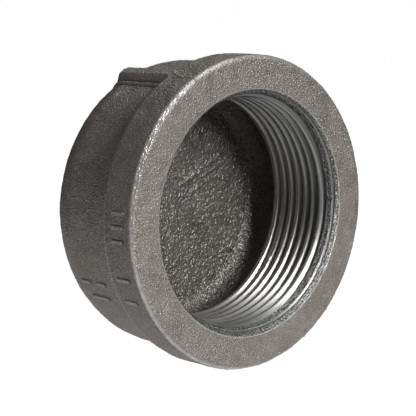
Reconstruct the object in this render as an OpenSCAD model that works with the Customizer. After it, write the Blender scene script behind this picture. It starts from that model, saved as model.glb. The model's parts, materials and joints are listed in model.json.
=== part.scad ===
// Banded, threaded pipe cap in malleable iron, for a 2 1/2 inch taper thread.
// The axis lies along X. The mouth faces +X, and its face is the plane x = 0.
// The cap is one casting: each module is a zone of it, and the zones meet face to face.

/* [Body] */
// Outside diameter of the body
body_d = 88.5; // [86.5:0.5:90]
// Length from the mouth face to the closed end
cap_len = 46.7; // [45.5:0.1:56]
// Radius round the edge of the closed end
end_edge_r = 15.4; // [10:0.2:16]
// Thickness of the closed end
end_t = 8; // [7:0.1:10]
// Diameter of the plain chamber behind the thread
chamber_d = 77.8; // [76.5:0.1:79]
// Radius in the corner of the chamber
chamber_corner_r = 6; // [3:0.5:7]

/* [Band] */
// Outside diameter of the band round the mouth
band_d = 94; // [92:0.5:100]
// Width of the band along the axis
band_w = 12.9; // [11:0.1:16]
// Radius of the band's corner at the mouth face
band_front_r = 1.7; // [0.5:0.1:3]
// Radius of the band's corner towards the body
band_back_r = 0.9; // [0.3:0.1:1.2]

/* [Grip ribs] */
// Number of ribs round the body
rib_count = 2; // [1:1:4]
// Width of a rib at its foot
rib_w = 8.4; // [6:0.2:10]
// Width of a rib along its top
rib_top_w = 5; // [3:0.2:5.8]
// Length of a rib's foot behind the band
rib_len = 25.5; // [16:0.5:28]
// Angle of the first rib, from +Y towards +Z
rib_angle = 116; // [90:1:180]

/* [Thread] */
// Distance between threads, 8 to the inch
pitch = 3.175; // [3.1:0.005:3.2]
// Pitch diameter in the plane of the mouth face
pitch_d = 70.16; // [69.9:0.02:70.4]
// Width of the flat on a crest
crest_flat = 0.9; // [0.5:0.05:1.1]
// Width of the flat in a root
root_flat = 0.2; // [0.1:0.05:0.3]
// Distance from the mouth face to the middle of the first full crest
first_crest = 6.25; // [6:0.05:6.5]
// Number of full crests
crest_count = 7; // [5:1:7]

/* [Mouth] */
// Diameter of the plain recess at the mouth
recess_d = 73.8; // [73.4:0.1:74.2]
// Depth of the plain recess
recess_depth = 1.2; // [1:0.1:1.4]
// Diameter of the cone that leads to the thread, at its wide end
lead_d = 72.6; // [72:0.1:73]

/* [Cast marks] */
// Height of a raised bar
mark_h = 0.5; // [0.3:0.1:0.8]
// Width of a raised bar
mark_w = 1.4; // [1:0.1:1.6]

/* [Hidden] */
$fn = 300;
flank_angle = 30;
// The thread's radius falls by this much for each millimetre along the axis
taper = 1 / 32;
// How far a drawing runs past the shape that it cuts
overrun = 1;
// How far the foot of a rib or bar reaches in, before the body is cut away from it
foot_depth = 2;
// How far the end of a rib leans in towards the band
rib_end_lean = 2.2;
// Outside radius of the threaded zone, where it meets the rest of the casting
liner_r = 37.8;

body_r = body_d / 2;
band_r = band_d / 2;
chamber_r = chamber_d / 2;
chamber_depth = cap_len - end_t;
thread_h = (pitch - crest_flat - root_flat) / 2 / tan(flank_angle);
// Root and crest radius, carried on to the plane of the mouth face
root_r = pitch_d / 2 + (pitch / 2 - root_flat) / 2 / tan(flank_angle);
crest_r = root_r - thread_h;
thread_len = first_crest + (crest_count - 1) * pitch + pitch / 4;

// Plain raised bars: the angle from +Y towards +Z, and the x of each end
band_bars = [
    [175, -8.8, -3.6], [180, -8.8, -3.6], [185, -8.8, -3.6],
    [199, -9.6, -3.6], [208, -9.6, -3.6]
];
body_bars = [[206, -32, -27.5], [206, -25, -20.5], [213, -30, -22]];

// Turns a drawing of radius (x) against distance along the axis (y) about the X axis
module turned() {
    rotate([90, 0, 90])
        rotate_extrude()
            children();
}

// The part of a drawing between two distances along the axis
module slice(from, to) {
    intersection() {
        children();
        translate([0, from])
            square([band_r + overrun, to - from]);
    }
}

// What rounding a corner to radius r takes away, on the +X +Y side of the arc's centre
module corner_waste(r) {
    difference() {
        square(r + overrun);
        circle(r);
    }
}

module body_outline() {
    difference() {
        translate([0, -cap_len])
            square([body_r, cap_len]);
        translate([body_r - end_edge_r, end_edge_r - cap_len])
            mirror([0, 1])
                corner_waste(end_edge_r);
    }
}

module band_outline() {
    difference() {
        translate([0, -band_w])
            square([band_r, band_w]);
        translate([band_r - band_front_r, -band_front_r])
            corner_waste(band_front_r);
        translate([band_r - band_back_r, band_back_r - band_w])
            mirror([0, 1])
                corner_waste(band_back_r);
    }
}

module chamber_outline() {
    difference() {
        translate([0, -chamber_depth])
            square([chamber_r, chamber_depth - thread_len]);
        translate([chamber_r - chamber_corner_r, chamber_corner_r - chamber_depth])
            mirror([0, 1])
                corner_waste(chamber_corner_r);
    }
}

module liner_outline() {
    translate([0, -thread_len])
        square([liner_r, thread_len]);
}

// Body and band as one solid, to cut away from the foot of what stands on them
module outer_solid() {
    turned() {
        body_outline();
        band_outline();
    }
}

// The closed end
module end_wall() {
    color("dimgray")
        turned()
            slice(-cap_len, -chamber_depth)
                body_outline();
}

// The wall from the closed end to the band, round the chamber and the inner half of the thread
module side_wall() {
    color("slategray")
        turned()
            difference() {
                slice(-chamber_depth, -band_w)
                    body_outline();
                chamber_outline();
                liner_outline();
            }
}

// The thicker band round the mouth, with the flat mouth face
module mouth_band() {
    color("gray")
        turned()
            difference() {
                band_outline();
                liner_outline();
            }
}

// One rib, standing on top of the body: a bar with sloping sides, flush with the band
module rib() {
    rib_end_x = -band_w - rib_len;
    difference() {
        intersection() {
            // Across the axis
            translate([rib_end_x, 0, 0])
                rotate([90, 0, 90])
                    linear_extrude(height = rib_len + band_back_r)
                        polygon([
                            [-rib_w / 2, body_r - foot_depth], [rib_w / 2, body_r - foot_depth],
                            [rib_w / 2, body_r], [rib_top_w / 2, band_r + overrun],
                            [-rib_top_w / 2, band_r + overrun], [-rib_w / 2, body_r]
                        ]);
            // Along the axis
            rotate([90, 0, 0])
                linear_extrude(height = rib_w, center = true)
                    polygon([
                        [rib_end_x, 0], [0, 0], [0, band_r + overrun],
                        [rib_end_x + rib_end_lean, band_r + overrun], [rib_end_x, body_r - foot_depth]
                    ]);
            turned()
                translate([0, -cap_len])
                    square([band_r, cap_len]);
        }
        outer_solid();
    }
}

module grip_ribs() {
    color("darkgray")
        for (k = [0:rib_count - 1])
            rotate([rib_angle - 90 + k * 360 / rib_count, 0, 0])
                rib();
}

// Crest k, counted from the mouth: the two ends of its flat
function crest(k) =
    let (x = -first_crest - k * pitch, r = crest_r + x * taper)
    [[r, x + crest_flat / 2], [r, x - crest_flat / 2]];

// The root on the mouth's side of crest k
function root(k) =
    let (x = -first_crest - (k - 0.5) * pitch, r = root_r + x * taper)
    [[r, x + root_flat / 2], [r, x - root_flat / 2]];

// The metal that the tap has cut: recess, lead-in cone and thread, down to the chamber
module threaded_mouth() {
    recess_r = recess_d / 2;
    lead_r = lead_d / 2;
    first_root = root(0)[0];
    mouth_points = [
        [liner_r, 0],
        [recess_r, 0],
        [recess_r, -recess_depth],
        [lead_r, lead_r - recess_r - recess_depth],
        first_root + thread_h / 2 * [-1, tan(flank_angle)]
    ];
    thread_points = [for (k = [0:crest_count - 1]) each concat(root(k), crest(k))];
    end_points = [
        [crest(crest_count - 1)[0][0], -thread_len],
        [liner_r, -thread_len]
    ];
    color("lightgray")
        turned()
            polygon(concat(mouth_points, thread_points, end_points));
}

// One bar: from x to x, standing on a surface of radius r
module bar(angle, from, to, r) {
    rotate([angle, 0, 0])
        translate([from, r - foot_depth, -mark_w / 2])
            cube([to - from, foot_depth + mark_h, mark_w]);
}

module cast_marks() {
    color("silver")
        difference() {
            union() {
                for (b = band_bars)
                    bar(b[0], b[1], b[2], band_r);
                for (b = body_bars)
                    bar(b[0], b[1], b[2], body_r);
            }
            outer_solid();
        }
}

end_wall();
side_wall();
mouth_band();
grip_ribs();
threaded_mouth();
cast_marks();
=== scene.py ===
"""Looks of a banded, threaded pipe cap: a sand-cast iron body with a freshly cut taper thread.

Lengths are in millimetres until a mesh is made. The axis is X, the mouth face is x = 0 and faces +X.
An angle is measured round the axis from +Y towards +Z. Each turned piece is a closed loop of rings
round the axis, walked along the outside towards the mouth and back along the inside, so the air
is always on the left of the walk. The ribs and the raised bars are pads that stand on the casting.
"""

import json
import math

import bmesh
import bpy
import numpy as np
from mathutils import Matrix, Vector, noise


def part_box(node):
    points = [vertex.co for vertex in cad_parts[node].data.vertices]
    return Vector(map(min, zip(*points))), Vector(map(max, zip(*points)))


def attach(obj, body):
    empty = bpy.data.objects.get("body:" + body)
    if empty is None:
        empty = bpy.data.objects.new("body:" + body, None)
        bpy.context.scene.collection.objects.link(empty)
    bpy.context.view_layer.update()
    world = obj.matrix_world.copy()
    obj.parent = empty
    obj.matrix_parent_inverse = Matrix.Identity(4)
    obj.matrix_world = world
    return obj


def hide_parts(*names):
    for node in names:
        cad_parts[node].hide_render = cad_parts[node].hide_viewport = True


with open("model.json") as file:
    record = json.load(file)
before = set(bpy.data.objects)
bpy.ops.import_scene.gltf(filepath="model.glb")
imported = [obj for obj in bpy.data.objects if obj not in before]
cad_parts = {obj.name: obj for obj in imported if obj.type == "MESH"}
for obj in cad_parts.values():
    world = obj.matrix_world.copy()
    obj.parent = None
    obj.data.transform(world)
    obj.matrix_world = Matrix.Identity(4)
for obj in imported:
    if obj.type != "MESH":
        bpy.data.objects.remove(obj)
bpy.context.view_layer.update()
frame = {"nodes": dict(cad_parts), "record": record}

MM = 0.001


def cad_size(node):
    """Lowest x, highest x and largest radius of a CAD node, in millimetres."""
    low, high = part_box(node)
    return low.x / MM, high.x / MM, high.z / MM


# Sizes that come from the CAD model
END_X, CHAMBER_X, _ = cad_size("end_wall")
_, BAND_X, BODY_R = cad_size("side_wall")
_, _, BAND_R = cad_size("mouth_band")
THREAD_X, _, LINER_R = cad_size("threaded_mouth")
MOUNTS = {mount["name"]: mount for mount in frame["record"]["mounts"]}
RIM_R = MOUNTS["mouth_recess"]["dims"]["r_mm"]

# Shape of the casting, with the same radii as the CAD model. The foot's fillet is the visual model's own
END_EDGE_R = 15.4
CHAMBER_R = 38.9
CHAMBER_CORNER_R = 6.0
BAND_FRONT_R = 1.7
BAND_BACK_R = 0.9
FOOT_FILLET_R = 1.2
PARTING_ANGLES = (116.0, -64.0)
# How far each parting line turns between the body and the mouth, in degrees
PARTING_DRIFT = 3.0
# Half the width of a parting line's ridge, and its height on the body and along the top of a rib
RIDGE_WIDTH = 0.3
BODY_RIDGE_HEIGHT = 0.16
RIB_RIDGE_HEIGHT = 0.22
# Scar on the side: its x, its angle, its height, and half its width along the axis and across
SCAR_X, SCAR_ANGLE = -30.7, 128.1
SCAR_HEIGHT = 0.35
SCAR_WIDTHS = (0.5, 1.1)
# Half the width of the strip that is rubbed bright on each corner of the band
FRONT_WEAR_WIDTH = 0.52
BACK_WEAR_WIDTH = 0.55
# Black scale beside the band's first parting line: its distance from the line, and half its width
SCALE_OFFSET = 0.5
SCALE_WIDTH = 0.35
# Depth at which the hidden meeting of band and thread turns in towards the rim
MOUTH_CORE_DEPTH = 0.9
# How far a pad reaches in under the surface that it stands on
PAD_DEPTH = 0.7

# Layers of the rough skin, outside and in the chamber: height, distance between bumps, octaves
SAND_LAYERS = [(0.10, 9.0, 2), (0.07, 2.1, 2), (0.10, 0.75, 1)]
CORE_LAYERS = [(0.10, 6.0, 2), (0.06, 1.6, 2), (0.31, 0.78, 1)]

# Thread, 8 to the inch. The radii are carried on to the plane of the mouth face
PITCH = 3.175
HALF_PITCH = PITCH / 2
CREST_R = 34.48
ROOT_R = 36.28
TAPER = 1 / 32
# Distances from the middle of a crest, and how much larger the radius is there than at the crest
CREST_EDGE = [0.22, 0.40, 0.56, 0.72]
ROOT_EDGE = HALF_PITCH - 0.1
PROFILE_DISTANCES = [0, *CREST_EDGE, ROOT_EDGE]
PROFILE_RISES = [0, 0.02, 0.09, 0.24, 0.47, ROOT_R - CREST_R]
# Depth of the first full crest: 6.16 at an angle of -5.7 degrees, carried round the thread to angle 0
FIRST_CREST = 6.16 + PITCH * -5.7 / 360
# The recess and the cone that lead to the thread
LEAD_DEPTHS = [0, 0.8, 1.2, 2.05, 3.0, 3.94, 5.5]
LEAD_RADII = [RIM_R, 36.2, 35.9, 35.55, 35.4, 35.1, 34.2]

# Wrinkles inside the closed end: (y, z) of each end, and the height
FLOW_MARKS = [((4, 3.5), (27, 15.5), 0.45), ((11, 5), (25, 11), 0.35), ((9, 1), (17, 6), 0.25),
              ((-5, 6), (9, -15), -0.12)]

# How bright the room round the cap is
ROOM_GLOW = 0.02

# Middle of the bright part of the floor, and where it starts and ends to fade, in metres
LIT_FLOOR_CENTRE = (-0.05, -0.03, -0.047)
LIT_FLOOR_FADE = (0.12, 0.26)
# Gap between the band and the floor, so that the rough skin doesn't reach through, in metres
FLOOR_GAP = 0.0003

# Mesh density
SKIN_COLUMNS = 960
THREAD_COLUMNS = 720
CORE_COLUMNS = 360
SKIN_STEP = 0.36
CORE_STEP = 0.42

# Cosine of the angle between two normals, over which they belong to one surface
SAME_SURFACE = 0.7


# ---- Rings and pieces ------------------------------------------------------------------------

def even_angles(count):
    return np.arange(count) * 360 / count


def skin_angles():
    """Angles of the outer columns, closer together at the two parting lines."""
    fine = np.linspace(0, 360, 14401)
    density = np.ones_like(fine)
    for line in PARTING_ANGLES:
        density += 2.5 * bell(angle_from(fine, line + PARTING_DRIFT / 2), 3)
    reached = np.concatenate([[0], np.cumsum((density[1:] + density[:-1]) / 2)])
    return np.interp(np.arange(SKIN_COLUMNS) / SKIN_COLUMNS, reached / reached[-1], fine)


def angle_from(angles, centre):
    """Signed difference from centre, from -180 to 180 degrees."""
    return (angles - centre + 180) % 360 - 180


def around(angles, x, radius):
    """Points at these angles, at a distance x along the axis and a radius from it."""
    turn = np.radians(angles)
    x, radius = np.broadcast_to(x, turn.shape), np.broadcast_to(radius, turn.shape)
    return np.stack([x, radius * np.cos(turn), radius * np.sin(turn)], axis=-1)


def smooth_step(value):
    """0 up to 0, 1 from 1 on, and a smooth rise between them."""
    value = np.clip(value, 0, 1)
    return value * value * (3 - 2 * value)


def bell(distance, width):
    """1 at a distance of 0, and a smooth fall to almost 0 at twice the width."""
    return np.exp(-(distance / width) ** 2)


class Piece:
    """Points and faces of one closed mesh, added ring by ring."""

    def __init__(self):
        self.points = []
        self.wear_and_shade = []
        self.faces = []

    def add(self, points, wear_and_shade=0.0):
        """Adds points and returns their indices."""
        first = len(self.points)
        self.points.extend(points.tolist())
        self.wear_and_shade.extend(np.broadcast_to(wear_and_shade, len(points)).tolist())
        return np.arange(first, first + len(points))

    def join(self, ring_a, angles_a, ring_b, angles_b):
        """Faces from one ring to the next one along the walk."""
        if len(ring_a) == len(ring_b):
            next_a, next_b = np.roll(ring_a, -1), np.roll(ring_b, -1)
            self.faces.extend(np.stack([ring_a, next_a, next_b, ring_b], axis=-1).tolist())
            return
        i = j = 0
        count_a, count_b = len(ring_a), len(ring_b)
        ahead_a = np.append(angles_a[1:], angles_a[0] + 360)
        ahead_b = np.append(angles_b[1:], angles_b[0] + 360)
        while i < count_a or j < count_b:
            a, b = ring_a[i % count_a], ring_b[j % count_b]
            if j >= count_b or (i < count_a and ahead_a[i] <= ahead_b[j]):
                i += 1
                self.faces.append([a, ring_a[i % count_a], b])
            else:
                j += 1
                self.faces.append([a, ring_b[j % count_b], b])

    def loop(self, rings, closed=True):
        """Joins a list of (indices, angles) in turn, and the last one to the first one."""
        for (ring_a, angles_a), (ring_b, angles_b) in zip(rings, rings[1:]):
            self.join(ring_a, angles_a, ring_b, angles_b)
        if closed:
            self.join(*rings[-1], *rings[0])

    def fan(self, ring, centre, starts):
        """Faces from a centre point to a ring, or from the ring to the centre at the walk's end."""
        ahead = np.roll(ring, -1)
        around_ring = zip(ahead, ring) if starts else zip(ring, ahead)
        self.faces.extend([[a, b, centre] for a, b in around_ring])

    def build(self, name, sharp_angle=50):
        mesh = bpy.data.meshes.new(name)
        mesh.from_pydata((np.array(self.points) * MM).tolist(), [], self.faces)
        attribute = mesh.attributes.new("wear_and_shade", "FLOAT", "POINT")
        attribute.data.foreach_set("value", np.array(self.wear_and_shade, np.float32))
        tidy = bmesh.new()
        tidy.from_mesh(mesh)
        bmesh.ops.remove_doubles(tidy, verts=tidy.verts, dist=1e-8)
        tidy.to_mesh(mesh)
        tidy.free()
        mesh.shade_smooth()
        mesh.set_sharp_from_angle(angle=math.radians(sharp_angle))
        piece = bpy.data.objects.new(name, mesh)
        bpy.context.scene.collection.objects.link(piece)
        return piece


# ---- The rough cast skin ---------------------------------------------------------------------

def bumps(points, size, octaves=1):
    """Smooth noise of about -1 to 1 at each point, with bumps about size millimetres apart."""
    places = (np.asarray(points) / size).tolist()
    return np.array([noise.fractal(place, 1.0, 2.0, octaves) for place in places])


def layered(points, layers):
    """The sum of several layers of bumps."""
    return sum(height * bumps(points, size, octaves) for height, size, octaves in layers)


def sand_height(points):
    """How far the sand's grain and the metal's flow lift the outer skin."""
    return layered(points, SAND_LAYERS)


def flow_marks(points):
    """Wrinkles on the inside of the closed end, where the metal met itself as it filled the mould."""
    height = 0
    for start, end, size in FLOW_MARKS:
        start, along = np.array(start), np.array(end) - np.array(start)
        length = np.linalg.norm(along)
        along = along / length
        offset = points[:, 1:] - start
        distance = offset @ along
        aside = offset @ np.array([-along[1], along[0]]) + 0.9 * bumps(points, 4.0, 2)
        ends = smooth_step(distance / 3) * smooth_step((length - distance) / 3)
        height = height + size * ends * bell(aside, 0.55)
    return height


def chamber_height(points):
    """The coarser skin that the core leaves inside."""
    return layered(points, CORE_LAYERS) + flow_marks(points)


def parting_height(x, angles, radius):
    """A thin ridge where the two halves of the mould met. It drifts a little across the band."""
    ridge = 0
    for line in PARTING_ANGLES:
        drift = PARTING_DRIFT * smooth_step((x - BAND_X + 2) / 10)
        across = np.radians(angle_from(angles, line + drift)) * radius
        ridge = ridge + BODY_RIDGE_HEIGHT * bell(across, RIDGE_WIDTH)
    return ridge


def straight(start, end, step):
    """Rows from one (x, r) to another, as x, r and the outward normal."""
    start, end = np.array(start, float), np.array(end, float)
    length = np.linalg.norm(end - start)
    share = np.linspace(0, 1, max(1, round(length / step)) + 1)
    along = (end - start) / length
    return [(*(start + s * (end - start)), -along[1], along[0]) for s in share]


def bend(centre, radius, from_angle, to_angle, step):
    """Rows along an arc. An angle is from +x towards +r, and a falling angle is a convex edge."""
    sweep = math.radians(to_angle - from_angle)
    share = np.linspace(0, 1, max(3, math.ceil(abs(sweep) * radius / step)) + 1)
    outward = 1 if sweep < 0 else -1
    rows = []
    for s in share:
        turn = math.radians(from_angle) + s * sweep
        rows.append((centre[0] + radius * math.cos(turn), centre[1] + radius * math.sin(turn),
                     outward * math.cos(turn), outward * math.sin(turn)))
    return rows


def skin_rings(piece, rows, angles, height, wear_and_shade=None):
    """Adds rows of the cast surface. height(points, angles, radius) lifts it along its normal."""
    rings = []
    for x, radius, normal_x, normal_r in rows:
        flat = around(angles, x, radius)
        lift = height(flat, angles, radius)
        points = around(angles, x + normal_x * lift, radius + normal_r * lift)
        wear_and_shade_value = wear_and_shade(x, radius, angles) if wear_and_shade else 0.0
        rings.append((piece.add(points, wear_and_shade_value), angles))
    return rings


def disc_rings(piece, x, outer_radius, step, height, facing):
    """Rings of a flat disc from its centre out, and the centre point. facing is 1 or -1."""
    count = round(outer_radius / step)
    centre = around(np.zeros(1), x, 0.0)
    centre[:, 0] += facing * height(centre, np.zeros(1), 0.0)
    centre_index = piece.add(centre)[0]
    rings = []
    for i in range(1, count):
        angles = even_angles(6 * i)
        flat = around(angles, x, outer_radius * i / count)
        flat[:, 0] += facing * height(flat, angles, outer_radius * i / count)
        rings.append((piece.add(flat), angles))
    return centre_index, rings


def scar(x, angles, radius):
    """A small scar on the side, from 0 to 1."""
    across = np.radians(angle_from(angles, SCAR_ANGLE)) * radius
    return bell(x - SCAR_X, SCAR_WIDTHS[0]) * bell(across, SCAR_WIDTHS[1])


def outer_height(points, angles, radius):
    """The height of the outside, with its sand grain, parting lines and scar."""
    x = points[:, 0]
    return (sand_height(points) + parting_height(x, angles, radius)
            + SCAR_HEIGHT * scar(x, angles, radius))


def plain_outer_height(points, angles, radius):
    """The height of a flat outer face, which has no parting line."""
    return sand_height(points)


def inner_height(points, angles, radius):
    """The height of the skin round the chamber."""
    return chamber_height(points)


def body_radius(x):
    """Radius of the body at x, with its rounded edge at the closed end."""
    into_edge = np.clip(END_X + END_EDGE_R - np.asarray(x, float), 0, END_EDGE_R)
    return BODY_R - END_EDGE_R + np.sqrt(END_EDGE_R ** 2 - into_edge ** 2)


# Where the pieces meet: on the closed end's rounded edge, at the foot of the band, and inside
EDGE_CENTRE = (END_X + END_EDGE_R, BODY_R - END_EDGE_R)
EDGE_MEETING_ANGLE = 180 - math.degrees(math.acos((EDGE_CENTRE[0] - CHAMBER_X) / END_EDGE_R))
FOOT_X = BAND_X - FOOT_FILLET_R
CORNER_CENTRE = (CHAMBER_X + CHAMBER_CORNER_R, CHAMBER_R - CHAMBER_CORNER_R)


def core_rings(piece, places):
    """Plain rings inside the metal, where one piece meets the next."""
    angles = even_angles(CORE_COLUMNS)
    return [(piece.add(around(angles, x, radius)), angles) for x, radius in places]


END_CORE = [(CHAMBER_X - 0.6, EDGE_CENTRE[1] + 12.6), (CHAMBER_X - 1.0, CORNER_CENTRE[1] + 0.5)]
BAND_CORE = [(BAND_X - 0.3, BODY_R - 1.2), (BAND_X, LINER_R)]
MOUTH_CORE = [(BAND_X, LINER_R), (-MOUTH_CORE_DEPTH, LINER_R)]


def make_end_wall(outer_angles):
    piece = Piece()
    centre, outside = disc_rings(piece, END_X, EDGE_CENTRE[1], SKIN_STEP, plain_outer_height, -1)
    edge = skin_rings(piece, bend(EDGE_CENTRE, END_EDGE_R, 180, EDGE_MEETING_ANGLE, SKIN_STEP),
                      outer_angles, outer_height)
    core = core_rings(piece, END_CORE)
    inner_angles = even_angles(THREAD_COLUMNS)
    corner = skin_rings(piece, [(CHAMBER_X, CORNER_CENTRE[1], 1, 0)], inner_angles, inner_height)
    inner_centre, inside = disc_rings(piece, CHAMBER_X, CORNER_CENTRE[1], SKIN_STEP, inner_height, 1)
    piece.fan(outside[0][0], centre, starts=True)
    piece.loop(outside + edge + core + corner + inside[::-1], closed=False)
    piece.fan(inside[0][0], inner_centre, starts=False)
    return piece.build("cast_end_wall")


def make_side_wall(outer_angles):
    piece = Piece()
    edge = bend(EDGE_CENTRE, END_EDGE_R, EDGE_MEETING_ANGLE, 90, SKIN_STEP)
    wall = straight((EDGE_CENTRE[0], BODY_R), (FOOT_X, BODY_R), SKIN_STEP)

    def scarred(x, radius, angles):
        return 0.8 * scar(x, angles, radius)

    outside = skin_rings(piece, edge + wall[1:], outer_angles, outer_height, scarred)
    core = core_rings(piece, BAND_CORE + [(THREAD_X, LINER_R)])
    inner_angles = even_angles(THREAD_COLUMNS)
    chamber = straight((THREAD_X, CHAMBER_R), (CORNER_CENTRE[0], CHAMBER_R), CORE_STEP)
    corner = bend(CORNER_CENTRE, CHAMBER_CORNER_R, 90, 180, CORE_STEP)
    corner = [(x, radius, -normal_x, -normal_r) for x, radius, normal_x, normal_r in corner]

    # Painted shade: the wall round the chamber and most of its corner are darkened half way to black,
    # fading out where the corner meets the closed end
    def painted_chamber_shade(x, radius, angles):
        return -0.5 * smooth_step((x - CHAMBER_X) / 1.5)

    inside = skin_rings(piece, chamber + corner[1:], inner_angles, inner_height, painted_chamber_shade)
    end_core = core_rings(piece, END_CORE[::-1])
    piece.loop(outside + core + inside + end_core)
    return piece.build("cast_side_wall")


def rim_points(angles):
    """The torn edge between the mouth face and the cut recess."""
    lift = bumps(around(angles, 0, RIM_R), 1.3, 3)
    return around(angles, 0.02 * lift, RIM_R + 0.1 * lift)


def make_mouth_band(outer_angles):
    piece = Piece()
    foot = bend((FOOT_X, BODY_R + FOOT_FILLET_R), FOOT_FILLET_R, -90, 0, SKIN_STEP)
    back = straight((BAND_X, BODY_R + FOOT_FILLET_R), (BAND_X, BAND_R - BAND_BACK_R), SKIN_STEP)
    back_edge = bend((BAND_X + BAND_BACK_R, BAND_R - BAND_BACK_R), BAND_BACK_R, 180, 90, 0.2)
    top = straight((BAND_X + BAND_BACK_R, BAND_R), (-BAND_FRONT_R, BAND_R), SKIN_STEP)
    front_edge = bend((-BAND_FRONT_R, BAND_R - BAND_FRONT_R), BAND_FRONT_R, 90, 0, 0.2)
    face = straight((0, BAND_R - BAND_FRONT_R), (0, RIM_R + 0.5), SKIN_STEP)

    # How far the middle of each rounded corner lies from the sharp one, along the axis and the radius
    inset_share = 1 - math.cos(math.radians(45))
    front_inset, back_inset = BAND_FRONT_R * inset_share, BAND_BACK_R * inset_share

    def wear_and_shade_value(x, radius, angles):
        """Rubbed bright along both corners, with a broken line of black scale beside one parting line."""
        front_gap = math.hypot(x + front_inset, radius - BAND_R + front_inset)
        back_gap = math.hypot(x - BAND_X - back_inset, radius - BAND_R + back_inset)
        front_wear, back_wear = bell(front_gap, FRONT_WEAR_WIDTH), bell(back_gap, BACK_WEAR_WIDTH)
        flat = around(angles, x, radius)
        patchy = np.clip(0.9 + 0.5 * bumps(flat, 2.5, 2), 0, 1)
        from_line = np.radians(angle_from(angles, PARTING_ANGLES[0] + PARTING_DRIFT)) * radius
        broken = smooth_step(bumps(flat, 2.0) + 0.5)
        scale = 0.8 * bell(from_line - SCALE_OFFSET, SCALE_WIDTH) * broken
        return patchy * max(front_wear, back_wear) - scale * (1 - front_wear)

    outside = skin_rings(piece, foot + back[1:] + back_edge[1:] + top[1:] + front_edge[1:],
                         outer_angles, outer_height, wear_and_shade_value)
    mouth_face = skin_rings(piece, face[1:], outer_angles, plain_outer_height)
    rim_angles = even_angles(THREAD_COLUMNS)
    rim = [(piece.add(rim_points(rim_angles), 1.0), rim_angles)]
    core = core_rings(piece, MOUTH_CORE[::-1] + BAND_CORE[:1])
    piece.loop(outside + mouth_face + rim + core)
    return piece.build("cast_mouth_band")


# ---- Thread ----------------------------------------------------------------------------------

def countersunk_radius(depth):
    """Radius of the recess and the cone that lead to the thread."""
    return np.interp(depth, LEAD_DEPTHS, LEAD_RADII)


def thread_radius(depth, helix):
    """Radius of the crests and grooves. helix is the depth carried round the thread to angle 0."""
    from_crest = np.abs((helix - FIRST_CREST + HALF_PITCH) % PITCH - HALF_PITCH)
    return CREST_R + np.interp(from_crest, PROFILE_DISTANCES, PROFILE_RISES) - depth * TAPER


def make_thread():
    """The cut metal. Its rows follow the thread, so the end of each row meets the row one pitch on."""
    piece = Piece()
    angles = even_angles(THREAD_COLUMNS)
    end_depth = -THREAD_X
    half_form = [*CREST_EDGE, HALF_PITCH - 0.62, HALF_PITCH - 0.35, ROOT_EDGE]
    form = [-distance for distance in reversed(half_form)] + half_form
    turns = range(-math.ceil(FIRST_CREST / PITCH), math.ceil((end_depth + PITCH) / PITCH))
    helices = [FIRST_CREST + n * PITCH + offset for n in turns for offset in form]
    rows = []
    for helix in helices:
        depth = np.clip(helix - PITCH * angles / 360, 0, end_depth)
        carried = depth + PITCH * angles / 360
        sunk = countersunk_radius(depth)
        cut = thread_radius(depth, carried)
        flat = around(angles, -depth, np.maximum(sunk, cut))
        torn = smooth_step((sunk - cut + 0.1) / 0.2) * smooth_step((5.2 - depth) / 0.8)
        crest = smooth_step((CREST_R + 0.1 - depth * TAPER - cut) / 0.1)
        torn = np.maximum(torn, 0.06 + 0.3 * crest)
        rough = torn * 0.14 * bumps(flat, 0.8, 3) * smooth_step(depth / 0.3)
        points = around(angles, -depth, np.maximum(sunk, cut) + rough)
        rim = rim_points(angles)
        points[depth <= 0] = rim[depth <= 0]
        rows.append(piece.add(points, torn))
    grid = np.array(rows)
    for row, next_row in zip(grid, grid[1:]):
        piece.faces.extend(np.stack([row[:-1], row[1:], next_row[1:], next_row[:-1]], axis=-1).tolist())
    last, opening = grid[len(form):, -1], grid[:-len(form), 0]
    piece.faces.extend(np.stack([last[:-1], opening[:-1], opening[1:], last[1:]], axis=-1).tolist())
    rim = piece.add(rim_points(angles), 1.0)
    end_radius = np.array([np.linalg.norm(piece.points[i][1:]) for i in grid[-1]])
    end = piece.add(around(angles, THREAD_X, end_radius))
    core = core_rings(piece, [(THREAD_X, LINER_R)] + MOUTH_CORE[1:])
    piece.loop([(end, angles)] + core + [(rim, angles)], closed=False)
    return piece.build("cut_thread", sharp_angle=35)


# ---- Ribs and raised bars --------------------------------------------------------------------

def node_solids(node):
    """The points of each separate solid in a CAD node, in millimetres."""
    copy = bmesh.new()
    copy.from_mesh(frame["nodes"][node].data)
    bmesh.ops.remove_doubles(copy, verts=copy.verts, dist=1e-6)
    left, solids = set(copy.verts), []
    while left:
        group, edge = set(), {left.pop()}
        while edge:
            group |= edge
            edge = {e.other_vert(v) for v in edge for e in v.link_edges} - group
        left -= group
        solids.append(np.array([v.co for v in group]) / MM)
    copy.free()
    return sorted(solids, key=lambda points: tuple(points.mean(axis=0)))


def add_pad(piece, centre_angle, xs, acrosses, radius_at, wear_and_shade_at):
    """Adds a closed pad over the body: a top from radius_at(x, across) and a plain underside."""
    x, across = np.meshgrid(xs, acrosses, indexing="ij")
    radius = radius_at(x, across)
    angles = centre_angle + np.degrees(across / body_radius(x))
    top = around(angles, x, radius)
    top_ids = piece.add(top.reshape(-1, 3), wear_and_shade_at(x, across).reshape(-1)).reshape(x.shape)
    low = around(angles, x, body_radius(x) - PAD_DEPTH)
    low_ids = piece.add(low.reshape(-1, 3)).reshape(x.shape)

    def sheet(ids, flip):
        corners = [ids[:-1, :-1], ids[:-1, 1:], ids[1:, 1:], ids[1:, :-1]]
        quads = np.stack(corners[::-1] if flip else corners, axis=-1).reshape(-1, 4)
        piece.faces.extend(quads.tolist())

    def border(ids):
        return np.concatenate([ids[0, :-1], ids[:-1, -1], ids[-1, :0:-1], ids[:0:-1, 0]])

    sheet(top_ids, flip=False)
    sheet(low_ids, flip=True)
    above, below = border(top_ids), border(low_ids)
    sides = np.stack([above, below, np.roll(below, -1), np.roll(above, -1)], axis=-1)
    piece.faces.extend(sides.tolist())


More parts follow.
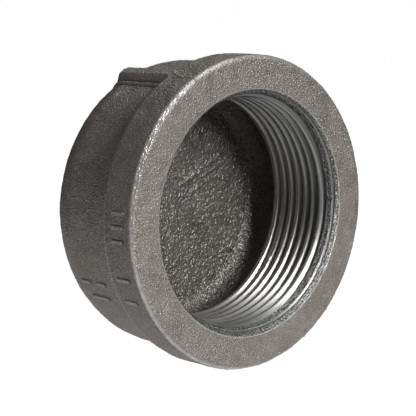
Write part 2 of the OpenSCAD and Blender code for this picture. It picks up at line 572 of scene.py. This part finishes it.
def make_ribs():
    """Each rib is a rounded crown on a low shelf, with crevices at its foot and a parting line on top."""
    piece = Piece()
    for solid in node_solids("grip_ribs"):
        centre = math.degrees(math.atan2(solid[:, 2].mean(), solid[:, 1].mean()))
        foot_x = solid[:, 0].min()

        def rise(x, across):
            """The height, from 0 on the body to 1 on the crown. It widens where it meets the band."""
            flare = 0.9 * np.exp((x - BAND_X) / 0.8)
            side = np.abs(across) - flare
            crown = 1 - smooth_step((side - 1.4) / 1.7)
            crevice = bell(side - 3.2, 0.3)
            shelf = 1 - smooth_step((side - 4.2) / 0.8)
            slope = smooth_step((x - foot_x + 1.3) / 4.2)
            return (0.70 * crown - 0.12 * crevice + 0.30 * shelf) * slope

        def radius_at(x, across):
            base = body_radius(x)
            flat = around(centre + np.degrees(across / base), x, base)
            ridge = RIB_RIDGE_HEIGHT * bell(across, RIDGE_WIDTH)
            droop = 0.02 * np.maximum(BAND_X - x, 0)
            lifted = base + (BAND_R - droop - base) * rise(x, across)
            sand = sand_height(flat.reshape(-1, 3)).reshape(x.shape)
            return lifted + sand + ridge - 0.05

        # Painted shade: the crevice beside the crown and the foot of each rib are darkened. The rib is
        # also a little lighter all over, and lighter still along its parting line.
        def wear_and_shade_at(x, across):
            side = np.abs(across)
            lightened = (0.12 + 0.75 * bell(across, RIDGE_WIDTH)) * rise(x, across)
            return lightened - bell(side - 3.3, 0.35) - 0.7 * bell(side - 5.0, 0.3)

        xs = np.arange(foot_x - 2.0, BAND_X + 1.1, 0.28)
        acrosses = np.concatenate([np.arange(-5.6, -0.9, 0.2), np.arange(-0.8, 0.81, 0.1),
                                   np.arange(1.0, 5.7, 0.2)])
        add_pad(piece, centre, xs, acrosses, radius_at, wear_and_shade_at)
    return piece.build("cast_grip_ribs")


def make_marks():
    """Plain raised bars with soft edges, in place of the cast marks."""
    piece = Piece()
    for solid in node_solids("cast_marks"):
        centre = math.degrees(math.atan2(solid[:, 2].mean(), solid[:, 1].mean()))
        start, end = solid[:, 0].min(), solid[:, 0].max()
        top_radius = np.linalg.norm(solid[:, 1:], axis=1).max()
        on_band = end > BAND_X
        height = top_radius - (BAND_R if on_band else BODY_R)

        def rise(x, across):
            outside = np.maximum(np.maximum(start + 0.7 - x, x - end + 0.7), 0)
            away = np.hypot(outside, across)
            return 1 - smooth_step((away - 0.35) / 0.6)

        def radius_at(x, across):
            base = np.full_like(x, BAND_R) if on_band else body_radius(x)
            flat = around(centre + np.degrees(across / base), x, base)
            sand = sand_height(flat.reshape(-1, 3)).reshape(x.shape)
            return base + sand + height * rise(x, across) - 0.03

        # The tops of the bars are rubbed a little lighter, and their sloping sides are painted dark as
        # shade
        def wear_and_shade_at(x, across):
            lift = rise(x, across)
            return 0.3 * smooth_step(2 * lift - 1) - 2.0 * lift * (1 - lift)

        xs = np.arange(start - 0.8, end + 0.81, 0.2)
        add_pad(piece, centre, xs, np.arange(-1.5, 1.51, 0.2), radius_at, wear_and_shade_at)
    return piece.build("cast_raised_bars")


# ---- One surface across two pieces -----------------------------------------------------------

def corner_normals(mesh):
    """The place of each face corner, in whole steps of 0.1 micrometre, and its shading normal."""
    points = np.empty(len(mesh.vertices) * 3)
    mesh.vertices.foreach_get("co", points)
    vertex = np.empty(len(mesh.loops), int)
    mesh.loops.foreach_get("vertex_index", vertex)
    normals = np.empty(len(mesh.loops) * 3)
    mesh.corner_normals.foreach_get("vector", normals)
    places = np.round(points.reshape(-1, 3) * 1e7).astype(np.int64)[vertex]
    return list(map(tuple, places.tolist())), normals.reshape(-1, 3)


def share_normals(first_piece, second_piece):
    """Gives two pieces that meet on the visible skin the same shading normals along the meeting.

    Where a point has several normals, the two that agree best are the ones on the skin.
    """
    pieces = (first_piece, second_piece)
    corners = [corner_normals(piece.data) for piece in pieces]
    found = []
    for places, normals in corners:
        at_place = {}
        for place, normal in zip(places, normals):
            at_place.setdefault(place, []).append(normal)
        found.append(at_place)
    shared = {}
    for place in found[0].keys() & found[1].keys():
        pairs = [(first, second) for first in found[0][place] for second in found[1][place]]
        first, second = max(pairs, key=lambda pair: np.dot(*pair))
        if np.dot(first, second) > SAME_SURFACE:
            shared[place] = (first + second) / np.linalg.norm(first + second)
    for piece, (places, normals) in zip(pieces, corners):
        fresh = normals.copy()
        for row, place in enumerate(places):
            normal = shared.get(place)
            if normal is not None and np.dot(normal, normals[row]) > SAME_SURFACE:
                fresh[row] = normal
        piece.data.normals_split_custom_set(fresh.tolist())


# ---- Materials -------------------------------------------------------------------------------

def new_material(name):
    material = bpy.data.materials.new(name)
    material.use_nodes = True
    return material, material.node_tree


def add_node(tree, kind, **values):
    """A node with its properties and its inputs set by name, as in Scale=3."""
    node = tree.nodes.new(kind)
    for name, value in values.items():
        if name in node.inputs:
            node.inputs[name].default_value = value
        else:
            setattr(node, name, value)
    return node


def add_noise(tree, place, size, **values):
    """A noise texture with features about size millimetres wide."""
    texture = add_node(tree, "ShaderNodeTexNoise", Scale=1 / (size * MM), **values)
    tree.links.new(place, texture.inputs["Vector"])
    return texture.outputs["Fac"]


def add_ramp(tree, value, *stops):
    """A colour ramp from (position, colour) stops. A colour of one number is a grey."""
    ramp = tree.nodes.new("ShaderNodeValToRGB")
    while len(ramp.color_ramp.elements) < len(stops):
        ramp.color_ramp.elements.new(0.5)
    for element, (position, colour) in zip(ramp.color_ramp.elements, stops):
        element.position = position
        element.color = (*colour, 1) if len(colour) == 3 else (colour[0],) * 3 + (1,)
    tree.links.new(value, ramp.inputs["Fac"])
    return ramp.outputs["Color"]


def feed(tree, source, socket):
    """Links a source to a socket, or sets the socket to a number."""
    if isinstance(source, (int, float)):
        socket.default_value = source
    else:
        tree.links.new(source, socket)


def add_mix(tree, share, first, second, blend="MIX"):
    """A mix of two colours. The node's colour sockets are inputs 6 and 7 and output 2."""
    mix = add_node(tree, "ShaderNodeMix", data_type="RGBA", blend_type=blend)
    feed(tree, share, mix.inputs["Factor"])
    feed(tree, first, mix.inputs[6])
    feed(tree, second, mix.inputs[7])
    return mix.outputs[2]


def add_product(tree, first, second, **values):
    product = add_node(tree, "ShaderNodeMath", operation="MULTIPLY", **values)
    feed(tree, first, product.inputs[0])
    feed(tree, second, product.inputs[1])
    return product.outputs[0]


def add_bump(tree, height, distance, normal=None):
    """A bump of full strength. distance is its height in millimetres."""
    bump = add_node(tree, "ShaderNodeBump", Strength=1.0, Distance=distance * MM)
    tree.links.new(height, bump.inputs["Height"])
    if normal is not None:
        tree.links.new(normal, bump.inputs["Normal"])
    return bump.outputs["Normal"]


def cast_iron(name, shade, grain_size, grain_depth, roughness, metallic):
    """Black malleable iron as cast: dark, faintly oily, with bright flecks on the sand's grain.

    Where the wear_and_shade attribute is above 0 the skin is rubbed bright. Below 0 it is black: black
    scale beside the band's parting line, and painted shade on the chamber wall, in the ribs' crevices and
    at their foot, and on the sloping sides of the bars.
    """
    material, tree = new_material(name)
    shader = tree.nodes["Principled BSDF"]
    place = tree.nodes.new("ShaderNodeTexCoord").outputs["Object"]
    wear_and_shade_value = add_node(tree, "ShaderNodeAttribute", attribute_name="wear_and_shade").outputs["Fac"]
    patches = add_noise(tree, place, 4.0, Detail=3, Roughness=0.6)
    flecks = add_noise(tree, place, grain_size * 0.8, Detail=2, Roughness=0.7)

    def tone(value):
        return (value * shade * 1.09, value * shade, value * shade * 0.93)

    dark = add_ramp(tree, patches, (0.3, tone(0.19)), (0.7, tone(0.25)))
    light = add_ramp(tree, patches, (0.3, tone(0.42)), (0.7, tone(0.55)))
    skin = add_mix(tree, add_ramp(tree, flecks, (0.50, (0,)), (0.66, (1,))), dark, light)
    stains = add_noise(tree, place, 11.0, Detail=4, Roughness=0.65)
    stain = add_ramp(tree, stains, (0.35, (0.86, 0.85, 0.82)), (0.62, (1.0, 1.0, 1.0)))
    skin = add_mix(tree, 1.0, skin, stain, blend="MULTIPLY")
    bright = add_ramp(tree, flecks, (0.3, (0.60, 0.59, 0.58)), (0.7, (0.85, 0.84, 0.83)))
    black = add_ramp(tree, flecks, (0.3, (0.02, 0.018, 0.015)), (0.7, (0.06, 0.055, 0.05)))
    # Black scale and painted shade: values below 0 darken the skin towards black
    scale_and_shade = add_product(tree, wear_and_shade_value, -1, use_clamp=True)
    skin = add_mix(tree, scale_and_shade, skin, black)
    tree.links.new(add_mix(tree, wear_and_shade_value, skin, bright), shader.inputs["Base Color"])
    rough_range = add_ramp(tree, patches, (0.3, (roughness - 0.06,)), (0.7, (roughness + 0.08,)))
    polished = add_ramp(tree, patches, (0.3, (0.20,)), (0.7, (0.28,)))
    tree.links.new(add_mix(tree, wear_and_shade_value, rough_range, polished), shader.inputs["Roughness"])
    tree.links.new(add_ramp(tree, wear_and_shade_value, (0, (metallic,)), (1, (0.65,))), shader.inputs["Metallic"])
    grain = add_noise(tree, place, grain_size, Detail=1, Roughness=0.35)
    relief = add_product(tree, grain, add_ramp(tree, wear_and_shade_value, (0, (1,)), (1, (0.3,))))
    tree.links.new(add_bump(tree, relief, grain_depth), shader.inputs["Normal"])
    return material


def cut_iron():
    """Freshly cut iron: bright, with fine tool lines round the axis, torn where wear is high."""
    material, tree = new_material("cut_iron")
    shader = tree.nodes["Principled BSDF"]
    place = tree.nodes.new("ShaderNodeTexCoord").outputs["Object"]
    torn = add_node(tree, "ShaderNodeAttribute", attribute_name="wear_and_shade").outputs["Fac"]
    stretch = add_node(tree, "ShaderNodeMapping", Scale=(2800, 45, 45))
    tree.links.new(place, stretch.inputs["Vector"])
    lines = add_node(tree, "ShaderNodeTexNoise", Scale=1.0, Detail=2)
    tree.links.new(stretch.outputs["Vector"], lines.inputs["Vector"])
    chips = add_noise(tree, place, 0.55, Detail=4, Roughness=0.7)
    smooth_metal = add_ramp(tree, lines.outputs["Fac"], (0.3, (0.24, 0.236, 0.232)),
                            (0.7, (0.50, 0.495, 0.49)))
    torn_metal = add_ramp(tree, chips, (0.42, (0.07, 0.068, 0.065)), (0.62, (0.66, 0.655, 0.65)))
    tree.links.new(add_mix(tree, torn, smooth_metal, torn_metal), shader.inputs["Base Color"])
    shader.inputs["Roughness"].default_value = 0.31
    shader.inputs["Metallic"].default_value = 0.75
    fine = add_bump(tree, lines.outputs["Fac"], 0.04)
    tree.links.new(add_bump(tree, add_product(tree, chips, torn), 0.35, fine), shader.inputs["Normal"])
    return material


def pale_floor():
    """A pale floor. Only its part round the cap glows enough to light the cap from below."""
    material, tree = new_material("pale_floor")
    shader = tree.nodes["Principled BSDF"]
    shader.inputs["Base Color"].default_value = (0.1, 0.1, 0.1, 1)
    shader.inputs["Roughness"].default_value = 0.9
    shader.inputs["Emission Color"].default_value = (1, 1, 1, 1)
    shader.inputs["Emission Strength"].default_value = 0.985
    place = tree.nodes.new("ShaderNodeNewGeometry").outputs["Position"]
    reach = add_node(tree, "ShaderNodeVectorMath", operation="DISTANCE")
    reach.inputs[1].default_value = LIT_FLOOR_CENTRE
    tree.links.new(place, reach.inputs[0])
    glow = tree.nodes.new("ShaderNodeEmission")
    fade_start, fade_end = LIT_FLOOR_FADE
    fade = add_ramp(tree, reach.outputs["Value"], (fade_start, (0.52,)), (fade_end, (0.02,)))
    tree.links.new(fade, glow.inputs["Color"])
    seen = tree.nodes.new("ShaderNodeLightPath").outputs["Is Camera Ray"]
    mix = tree.nodes.new("ShaderNodeMixShader")
    tree.links.new(seen, mix.inputs[0])
    tree.links.new(glow.outputs[0], mix.inputs[1])
    tree.links.new(shader.outputs[0], mix.inputs[2])
    tree.links.new(mix.outputs[0], tree.nodes["Material Output"].inputs["Surface"])
    return material


def add_core_skin_and_shade(piece, material):
    """Gives the faces round the chamber the rougher skin that the core leaves, in the darker copy of the
    iron that paints shade inside the cap.
    """
    piece.data.materials.append(material)
    for face in piece.data.polygons:
        x, y, z = face.center / MM
        inside = x > CHAMBER_X - 0.5 and math.hypot(y, z) < CHAMBER_R + 0.5
        face.material_index = int(inside)


# ---- The object ------------------------------------------------------------------------------

outer_columns = skin_angles()
end_wall = make_end_wall(outer_columns)
side_wall = make_side_wall(outer_columns)
mouth_band = make_mouth_band(outer_columns)
thread = make_thread()
ribs = make_ribs()
marks = make_marks()
share_normals(end_wall, side_wall)
share_normals(side_wall, mouth_band)

skin_material = cast_iron("cast_iron_skin", shade=1.0, grain_size=0.5, grain_depth=0.4,
                          roughness=0.44, metallic=0.42)
# The core's copy of the iron is darker than the outer skin: painted shade inside the cap, on the rougher,
# glossier skin that the core leaves
core_skin_and_shade_material = cast_iron("cast_iron_core_shaded", shade=0.69, grain_size=0.55, grain_depth=0.42,
                          roughness=0.32, metallic=0.55)
cut_material = cut_iron()
stands_for = [
    (end_wall, "end_wall", "cast_skin", skin_material),
    (side_wall, "side_wall", "cast_skin", skin_material),
    (mouth_band, "mouth_band", "cast_skin", skin_material),
    (ribs, "grip_ribs", "cast_skin", skin_material),
    (marks, "cast_marks", "cast_skin", skin_material),
    (thread, "threaded_mouth", "cut_iron", cut_material),
]
for piece, node, slot, material in stands_for:
    piece.data.materials.append(material)
    if piece in (end_wall, side_wall):
        add_core_skin_and_shade(piece, core_skin_and_shade_material)
    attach(piece, "root")
    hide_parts(node)


# ---- Floor, light and camera -----------------------------------------------------------------

def make_floor():
    reach = 40.0
    corners = [(-reach, -reach, 0), (reach, -reach, 0), (reach, reach, 0), (-reach, reach, 0)]
    mesh = bpy.data.meshes.new("floor")
    mesh.from_pydata(corners, [], [(0, 1, 2, 3)])
    floor = bpy.data.objects.new("floor", mesh)
    floor.location.z = -BAND_R * MM - FLOOR_GAP
    mesh.materials.append(pale_floor())
    bpy.context.scene.collection.objects.link(floor)


def add_softbox(name, azimuth, elevation, distance, width, height, power):
    """A soft box aimed at the cap. azimuth is from +X towards +Y, elevation is above the floor."""
    light = bpy.data.lights.new(name, "AREA")
    light.shape = "RECTANGLE"
    light.size = width
    light.size_y = height
    light.energy = power
    azimuth, elevation = math.radians(azimuth), math.radians(elevation)
    towards = Vector((math.cos(azimuth) * math.cos(elevation),
                      math.sin(azimuth) * math.cos(elevation), math.sin(elevation)))
    lamp = bpy.data.objects.new(name, light)
    lamp.location = towards * distance
    lamp.rotation_euler = towards.to_track_quat("Z", "Y").to_euler()
    bpy.context.scene.collection.objects.link(lamp)


def studio_world():
    """A white backdrop, and a dim room as the light that comes from it."""
    world = bpy.data.worlds.new("studio")
    world.use_nodes = True
    tree = world.node_tree
    room = tree.nodes["Background"]
    room.inputs["Color"].default_value = (1, 1, 1, 1)
    room.inputs["Strength"].default_value = ROOM_GLOW
    backdrop = add_node(tree, "ShaderNodeBackground", Color=(1, 1, 1, 1), Strength=1.0)
    seen = tree.nodes.new("ShaderNodeLightPath").outputs["Is Camera Ray"]
    mix = tree.nodes.new("ShaderNodeMixShader")
    tree.links.new(seen, mix.inputs[0])
    tree.links.new(room.outputs[0], mix.inputs[1])
    tree.links.new(backdrop.outputs[0], mix.inputs[2])
    tree.links.new(mix.outputs[0], tree.nodes["World Output"].inputs["Surface"])
    bpy.context.scene.world = world


def light_scene():
    add_softbox("key_strip", azimuth=0, elevation=27, distance=1.1, width=0.2, height=0.65, power=11.8)
    add_softbox("top_light", azimuth=15, elevation=68, distance=1.2, width=0.6, height=0.6, power=2.0)
    add_softbox("back_light", azimuth=128, elevation=62, distance=1.2, width=0.5, height=0.5, power=2.2)
    add_softbox("side_fill", azimuth=-118, elevation=3, distance=1.0, width=0.8, height=0.5, power=1.25)
    studio_world()


def place_camera():
    """A long lens in front of the mouth, to its left and a little above."""
    azimuth, elevation = math.radians(47.79), math.radians(8.47)
    distance, aside, above = 0.44585, -0.01363, 0.0017
    right = Vector((math.cos(azimuth), math.sin(azimuth), 0))
    back = Vector((math.sin(azimuth) * math.cos(elevation),
                   -math.cos(azimuth) * math.cos(elevation), math.sin(elevation)))
    up = back.cross(right)
    camera = bpy.data.objects.new("camera", bpy.data.cameras.new("camera"))
    camera.data.lens = 130.2
    camera.data.sensor_width = 36
    camera.data.clip_start = 0.01
    turn = Matrix((right, up, back)).transposed().to_4x4()
    camera.matrix_world = Matrix.Translation(right * aside + up * above + back * distance) @ turn
    bpy.context.scene.collection.objects.link(camera)
    bpy.context.scene.camera = camera


make_floor()
light_scene()
place_camera()
bpy.context.scene.view_settings.view_transform = "Standard"
